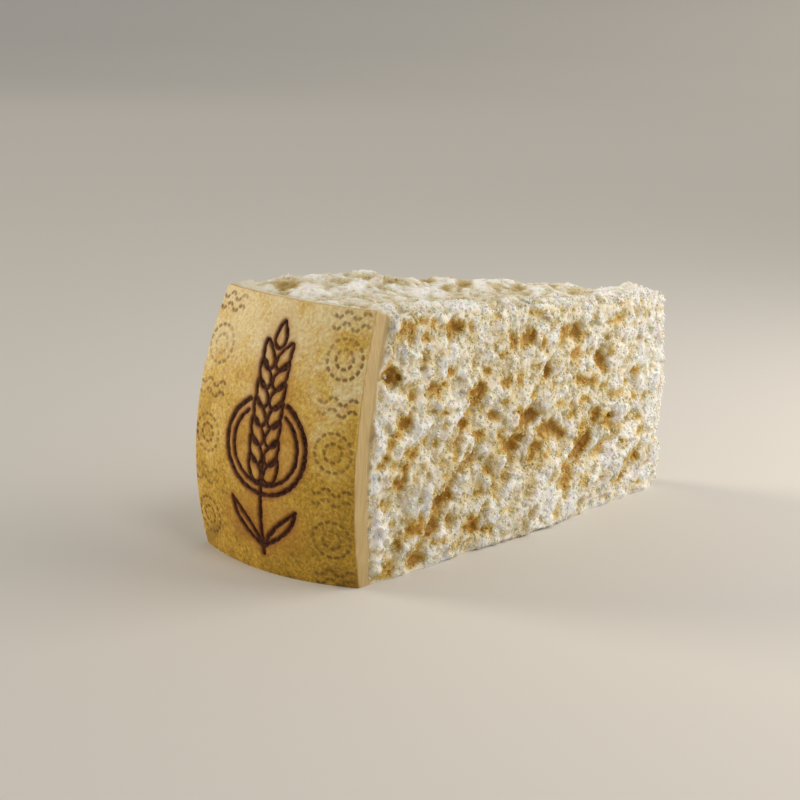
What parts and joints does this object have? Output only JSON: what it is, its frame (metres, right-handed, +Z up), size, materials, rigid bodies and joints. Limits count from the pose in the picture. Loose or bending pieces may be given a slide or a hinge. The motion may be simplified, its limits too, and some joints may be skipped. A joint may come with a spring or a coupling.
{
  "type": "hard cheese wedge",
  "caption": "Broken wedge of hard grating cheese with a bulging tan rind at one end and rough crumbly broken faces.",
  "frame": {"origin": "centre of the wedge's bounding box in plan, on the surface that it rests on", "axes": "+Z up, +X along the wedge from its rind to its blunt tip, -Y out of its right-hand broken face"},
  "size_m": [0.2442, 0.097, 0.1217],
  "materials": {
    "paste": "crumbly, slightly waxy",
    "rind": "satin, dry"
  },
  "bodies": {
    "root": {"wedge": "paste"}
  },
  "joints": []
}
